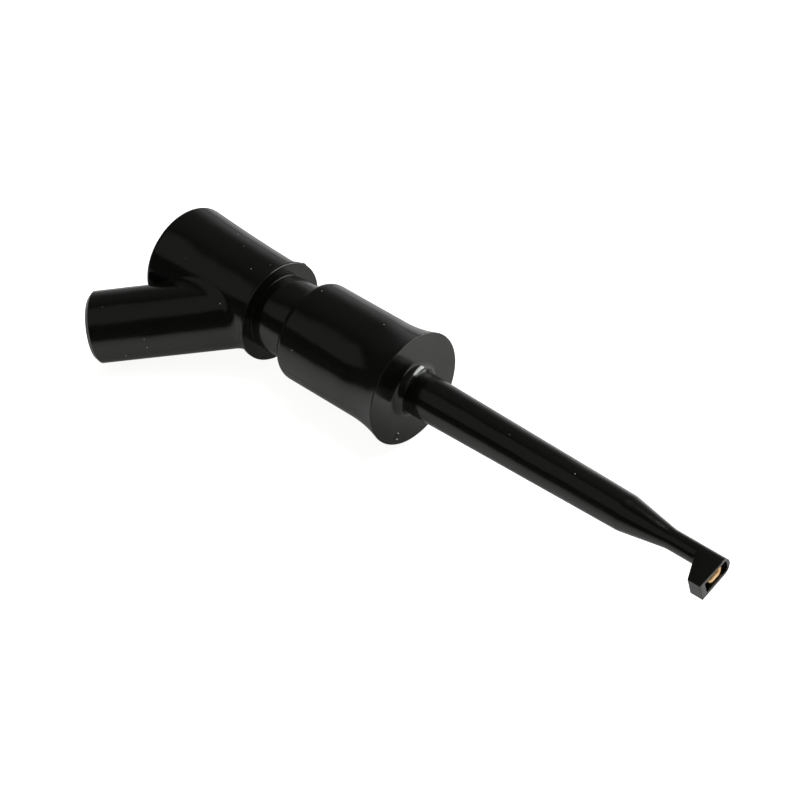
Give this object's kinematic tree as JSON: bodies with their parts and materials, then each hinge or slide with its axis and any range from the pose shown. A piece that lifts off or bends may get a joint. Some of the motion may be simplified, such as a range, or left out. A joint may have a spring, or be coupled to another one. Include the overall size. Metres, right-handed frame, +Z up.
{
  "type": "test hook clip",
  "caption": "Insulated test hook clip: a sprung thumb plunger with an angled plug socket pushes a gold hook out of the slotted tip of a slender nose.",
  "frame": {"origin": "on the surface that the clip lies on, under the middle of its box", "axes": "+X along the nose, from the thumb cup to the hook; +Z up from the surface; the socket arm is on the -Y side"},
  "size_m": [0.0796, 0.0222, 0.0129],
  "materials": {
    "black_moulding": "glossy moulded plastic",
    "brass_sleeve": "turned brass",
    "nickel_rod": "nickel plated brass",
    "gold_wire": "gold plated bronze wire",
    "spring_steel": "drawn spring wire"
  },
  "bodies": {
    "grip": {"grip_body": "black_moulding", "return_spring": "spring_steel"},
    "slider": {"plunger": "black_moulding", "thumb_cap": "black_moulding", "socket_sleeve": "brass_sleeve", "contact_rod": "nickel_rod", "hook_wire": "gold_wire"}
  },
  "joints": [
    {"name": "plunger_press", "type": "slide", "parent": "grip", "child": "slider", "axis": [1, 0, 0], "range_m": [0, 0.0046], "stiffness_N_per_m": 300, "springref_m": -0.005, "deforming": ["return_spring"]}
  ]
}
